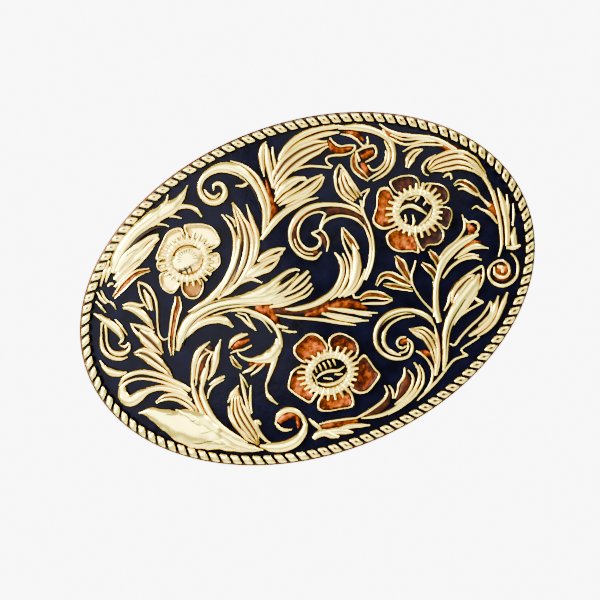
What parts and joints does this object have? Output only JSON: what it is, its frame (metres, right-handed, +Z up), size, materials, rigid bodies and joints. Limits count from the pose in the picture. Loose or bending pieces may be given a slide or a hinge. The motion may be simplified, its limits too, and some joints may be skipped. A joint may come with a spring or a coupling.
{
  "type": "belt buckle",
  "caption": "Oval curved trophy belt buckle with gold floral scroll overlays on black enamel, a rope edge, and a hinged wire bail and prong on the back.",
  "frame": {"origin": "centre of the back plate's back face", "axes": "+X along the long axis towards the bail side, +Y out of the back towards the wearer, +Z up as worn"},
  "size_m": [0.096, 0.0154, 0.067],
  "materials": {
    "gold": "bright gold plate, dark in the recesses",
    "copper_gold": "bright copper-coloured gold plate",
    "black_enamel": "glossy cold enamel",
    "plate_metal": "brushed gold plate",
    "hardware": "drawn wire and turned metal, gold plated"
  },
  "bodies": {
    "buckle": {"back_plate": "plate_metal", "enamel_ground": "black_enamel", "rope_edge": "gold", "leaf_spray_upper_left": "gold", "bud_left": "gold", "teardrop_left": "gold", "scroll_lower_left": "gold", "leaf_lower_left": "gold", "stem_lower_left": "gold", "acanthus_lower_left": "gold", "main_bough": "gold", "leaf_spray_centre": "gold", "volute_top": "gold", "leaf_spray_top": "gold", "bough_right": "gold", "volute_centre": "gold", "volute_lower_right": "gold", "leaf_in_volute": "gold", "sprig_right": "gold", "leaf_spray_lower_right": "gold", "leaf_spray_bottom": "gold", "leaf_curl_bottom": "gold", "flower_petals_upper_left": "gold", "flower_petals_upper_right": "copper_gold", "flower_petals_lower": "copper_gold", "flower_stamens_upper_left": "gold", "flower_stamens_upper_right": "gold", "flower_stamens_lower": "gold", "flower_centre_upper_left": "gold", "flower_centre_upper_right": "gold", "flower_centre_lower": "gold", "bail_lug_upper": "hardware", "bail_lug_lower": "hardware", "prong_pad": "hardware", "prong": "hardware"},
    "bail": {"bail": "hardware"}
  },
  "joints": [
    {"name": "bail_swing", "type": "hinge", "parent": "buckle", "child": "bail", "pos_m": [0.018, 0.00386, 0], "axis": [0, 0, 1], "range_deg": [-2, 175]}
  ]
}
